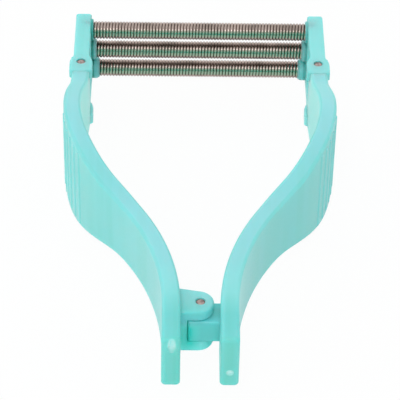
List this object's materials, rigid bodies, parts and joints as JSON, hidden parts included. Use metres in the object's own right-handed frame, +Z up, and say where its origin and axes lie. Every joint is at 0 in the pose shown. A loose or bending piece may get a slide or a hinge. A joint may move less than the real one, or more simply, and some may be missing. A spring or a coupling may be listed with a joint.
{
  "type": "facial hair removal spring",
  "caption": "Hand-held hair remover: ribbon arms cross-hinged at a clevis, with close-wound coil springs stretched side by side between pivoting heads.",
  "frame": {"origin": "middle of the tool's outer box, on the surface that the finger paddles' edges lie on", "axes": "+X across the tool along the springs, +Y from the tails to the springs, +Z up along all the pins"},
  "size_m": [0.094, 0.168, 0.0366],
  "materials": {
    "mint_plastic": "semi-gloss",
    "spring_steel": "drawn wire",
    "pin_steel": "dull"
  },
  "bodies": {
    "left_arm": {"left_arm": "mint_plastic", "centre_pin": "pin_steel"},
    "right_arm": {"right_arm": "mint_plastic"},
    "left_head": {"left_head": "mint_plastic", "left_head_pin": "pin_steel"},
    "springs": {"spring_top": "spring_steel", "spring_middle": "spring_steel", "spring_bottom": "spring_steel"},
    "right_head": {"right_head": "mint_plastic", "right_head_pin": "pin_steel"}
  },
  "joints": [
    {"name": "handle_hinge", "type": "hinge", "parent": "left_arm", "child": "right_arm", "pos_m": [0, -0.06477, 0.0183], "axis": [0, 0, 1], "range_deg": [-1, 10], "stiffness_Nm_per_rad": 0.5},
    {"name": "left_head_hinge", "type": "hinge", "parent": "left_arm", "child": "left_head", "pos_m": [-0.04208, 0.05507, 0.0183], "axis": [0, 0, 1], "range_deg": [-3, 29]},
    {"name": "left_spring_flex", "type": "hinge", "parent": "left_head", "child": "springs", "pos_m": [-0.0264, 0.07907, 0.0183], "axis": [0, 0, 1], "range_deg": [-24, 3], "deforming": ["spring_top", "spring_middle", "spring_bottom"]},
    {"name": "right_spring_flex", "type": "hinge", "parent": "springs", "child": "right_head", "pos_m": [0.0264, 0.07907, 0.0183], "axis": [0, 0, 1], "range_deg": [-24, 3]}
  ],
  "couplings": [
    {"joint": "left_head_hinge", "follows": "handle_hinge", "ratio": 2.82},
    {"joint": "left_spring_flex", "follows": "handle_hinge", "ratio": -2.32},
    {"joint": "right_spring_flex", "follows": "handle_hinge", "ratio": -2.32}
  ]
}
